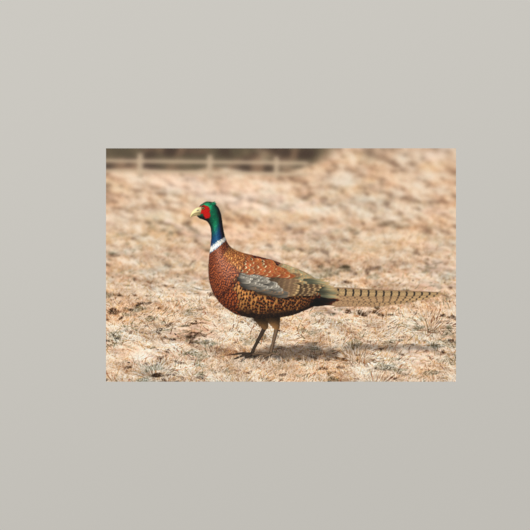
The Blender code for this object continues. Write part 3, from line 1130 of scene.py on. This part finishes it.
# Corners of the ink cells on the flat front, which ends where the eased edge begins.
def facePlaces():
    return flatPlaces(raster["cellsAcross"], raster["cellsUp"], sheet["front"], inset=sheet["easedEdge"])


# Once round the ink cells' outermost corners, from the lower left one along the bottom, right, top and left.
def aroundRim(field):
    return np.concatenate([field[0, :-1], field[:-1, -1], field[-1, :0:-1], field[:0:-1, 0]])


# A quarter round from the face to the side, then straight to the back: out by r sin, deep by r - r cos.
def rimPlaces():
    turn, eased = np.linspace(0, math.pi / 2, rim["arcPoints"]), sheet["easedEdge"]
    out = np.append(eased * np.sin(turn), eased)
    depth = np.append(eased * (1 - np.cos(turn)), sheet["back"] - sheet["front"])
    outline = aroundRim(facePlaces())[:, None]
    halfSize = np.array([sheet["width"], 0, sheet["height"]]) / 2
    aside = outline - np.array([sheet["left"], sheet["front"], sheet["bottom"]]) - halfSize
    places = outline + np.sign(aside) * (np.abs(aside) > halfSize - 2 * eased) * out[:, None]
    places[..., 1] += depth
    return places


# Ink over a matt film: faint patches in its sheen and a fine tooth.
def makeFilmFinish():
    paint = Finish(bpy.data.materials.new("printedFilm"))
    place = paint.objectPlace()
    patches = paint.noise(place, film["patchScale"], 4.0, 0.6)
    tooth = paint.noise(place, film["toothScale"], 2.0, 0.6)
    return paint.surface({
        "Base Color": paint.mix(1.0, paint.ink(), 1 - film["toneSpread"] * (1 - tooth), "MULTIPLY"),
        "Normal": paint.bump(tooth, film["toothDepth"]), "Specular IOR Level": film["specular"],
        "Roughness": film["roughness"] + film["roughnessSpread"] * (patches + 0.4 * tooth - 0.7),
    })


# Printed film, white core and adhesive lie one behind the other, so the depth tells which one shows.
def makeRimFinish():
    paint = Finish(bpy.data.materials.new("cutEdge"))
    place = paint.objectPlace()
    depth = paint.split(place)[1] - sheet["front"]
    streaks = paint.noise(place, rim["streakScale"], 3.0, 0.6)
    toBack = sheet["back"] - sheet["front"] - rim["adhesiveThickness"]
    lines = ((rim["filmThickness"], rim["filmBlur"]), (toBack, rim["adhesiveBlur"]))
    inCore, inAdhesive = (paint.step(depth, line - blur, line + blur) for line, blur in lines)
    core = paint.mix(streaks, solid(rim["core"], 0.90), solid(rim["core"]))
    colour = paint.mix(inCore, paint.ink(), core)
    return paint.surface({
        "Base Color": paint.mix(inAdhesive, colour, solid(rim["adhesive"])),
        "Normal": paint.bump(streaks, rim["streakDepth"], 0.6),
        "Roughness": rim["roughness"] - 0.2 * inAdhesive + 0.1 * (streaks - 0.5),
    })


# Air channels cross in diamonds: each set is where the fraction of (x ± z) / pitch is near a half.
def makeBackFinish():
    paint = Finish(bpy.data.materials.new("adhesiveBack"))
    place = paint.objectPlace()
    alongX, _, alongZ = paint.split(place)
    pitch, width = backing["channelPitch"] * math.sqrt(2), backing["channelWidth"]
    channels = []
    for slanted in (alongX + alongZ, alongX - alongZ):
        fromLine = ((slanted / pitch).maths("FRACT") - 0.5).maths("ABSOLUTE")
        channels.append(1 - paint.step(fromLine, width / 2, width))
    channels = channels[0].maths("MAXIMUM", channels[1])
    mottle = paint.noise(place, backing["mottleScale"], 5.0, 0.62)
    fine = paint.noise(place, backing["fineScale"])
    cloudy = paint.step(mottle, 0.35, 0.7)
    colour = paint.mix(cloudy, solid(backing["sheetColour"]), solid(backing["mottleColour"]))
    height = 0.3 * mottle + 0.02 * fine - 0.35 * channels
    return paint.surface({
        "Base Color": paint.mix(0.8 * channels, colour, solid(backing["channelColour"])),
        "Normal": paint.bump(height, backing["creaseDepth"]), "Specular IOR Level": backing["specular"],
        "Roughness": backing["roughness"] + backing["roughnessSpread"] * (mottle - 0.5) + 0.25 * channels,
    })


def mountPiece(piece, finish):
    piece.data.materials.append(finish)
    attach(piece, "root")
    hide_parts("print_sheet")


# The flat map runs over the square but for a hair at each side, so nothing of the far side shows at a seam.
def layFlatMap(mesh, places, hair=0.002):
    flat = places[..., [0, 2]].reshape(-1, 2)
    flat = hair + (1 - 2 * hair) * (flat - flat.min(0)) / np.ptp(flat, axis=0)
    corners = np.empty(len(mesh.loops), np.int32)
    mesh.loops.foreach_get("vertex_index", corners)
    mesh.uv_layers.new(name="OFBake").data.foreach_set("uv", flat[corners].reshape(-1).astype(np.float32))


# Each tile takes its share of the cells.
def makeFaceTiles(ink):
    places, finish = facePlaces(), makeFilmFinish()
    tall, wide = raster["cellsUp"] // film["tilesUp"], raster["cellsAcross"] // film["tilesAcross"]
    for row in range(film["tilesUp"]):
        for column in range(film["tilesAcross"]):
            share = np.s_[row * tall : (row + 1) * tall + 1, column * wide : (column + 1) * wide + 1]
            tile = makeMesh(f"printedFace_{row + 1}_{column + 1}", places[share], inkOf=ink[share])
            layFlatMap(tile.data, places[share])
            mountPiece(tile, finish)


def makeRim(ink):
    places = rimPlaces()
    edgeInk = np.repeat(aroundRim(ink)[:, None], places.shape[1], axis=1)
    mountPiece(makeMesh("cutRim", places, closedAround=True, inkOf=edgeInk), makeRimFinish())


def makeBack():
    places = flatPlaces(backing["columns"], backing["rows"], sheet["back"], towardsWall=True)
    back = makeMesh("adhesiveBack", places)
    layFlatMap(back.data, places)
    mountPiece(back, makeBackFinish())


pictureInk = paintPicture()
report("picture printed to cells")
makeFaceTiles(pictureInk)
makeRim(pictureInk)
makeBack()
report("print sheet made")
